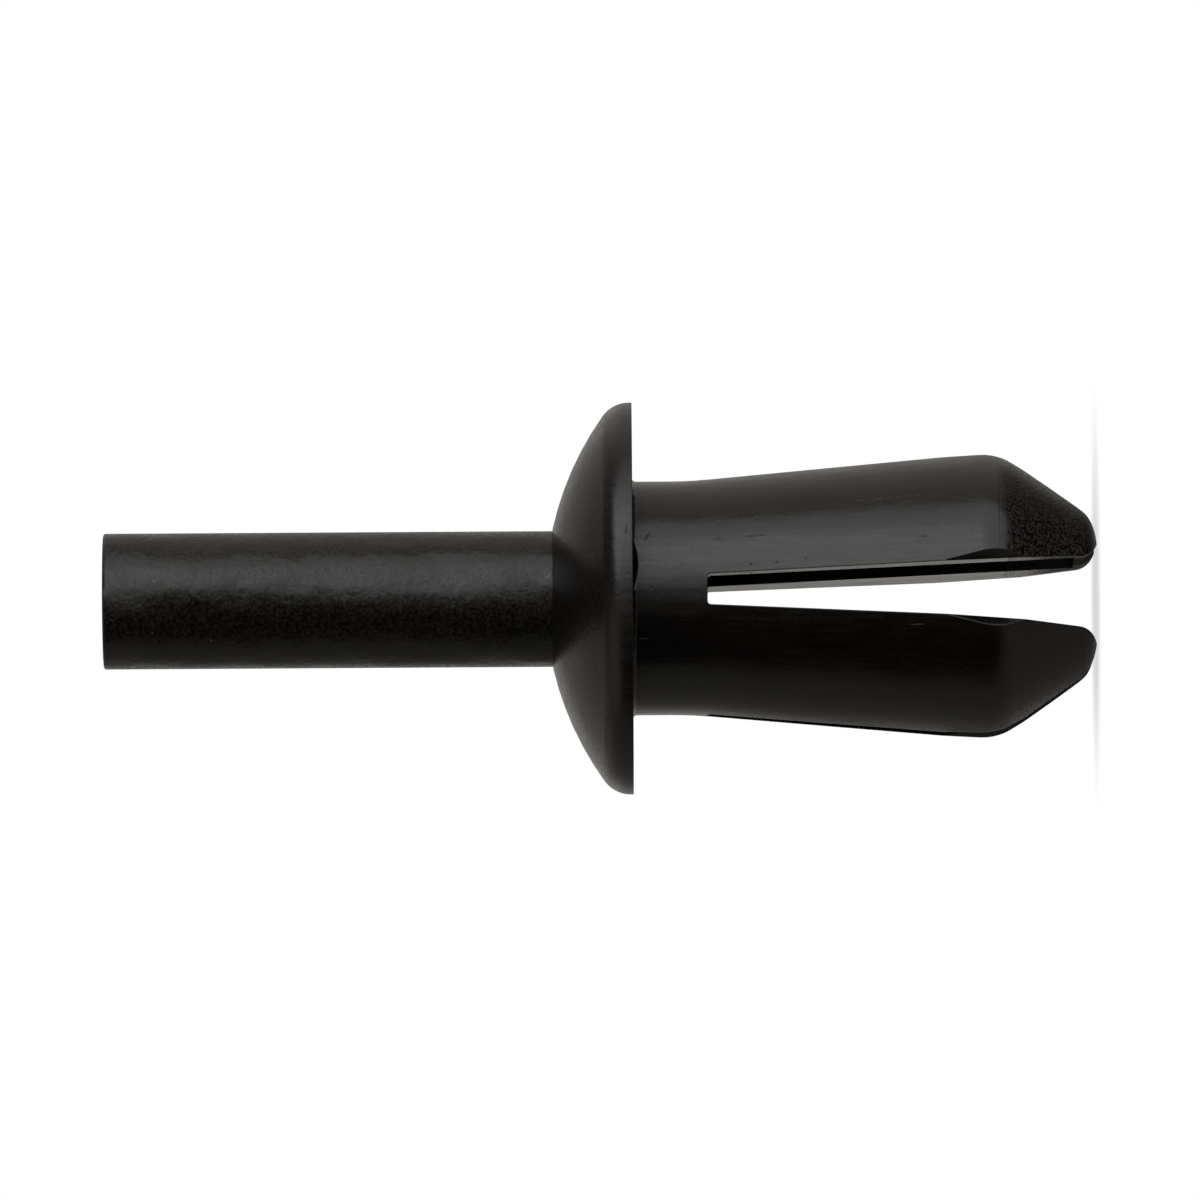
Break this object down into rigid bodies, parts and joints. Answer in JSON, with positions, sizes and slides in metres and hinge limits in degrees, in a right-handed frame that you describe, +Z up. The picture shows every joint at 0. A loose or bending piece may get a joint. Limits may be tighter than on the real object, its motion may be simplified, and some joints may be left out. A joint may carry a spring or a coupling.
{
  "type": "plastic push rivet",
  "caption": "Plastic push rivet: a domed head on a slotted shank with spread legs, and a drive pin standing in the head ready to be pushed in.",
  "frame": {"origin": "on the rivet's axis, level with the four leg tips that it stands on", "axes": "+Z up along the rivet's axis, from the leg tips to the pin's free end; +X and +Y run out through the slots between the legs"},
  "size_m": [0.011, 0.011, 0.0278],
  "materials": {
    "body_plastic": "moulded black nylon, satin, with a fine spark-eroded grain on the nose",
    "pin_plastic": "moulded black nylon, satin, slightly mottled"
  },
  "bodies": {
    "body": {"rivet_body": "body_plastic"},
    "pin": {"drive_pin": "pin_plastic"}
  },
  "joints": [
    {"name": "pin_drive", "type": "slide", "parent": "body", "child": "pin", "axis": [0, 0, -1], "range_m": [0, 0.01261]}
  ]
}
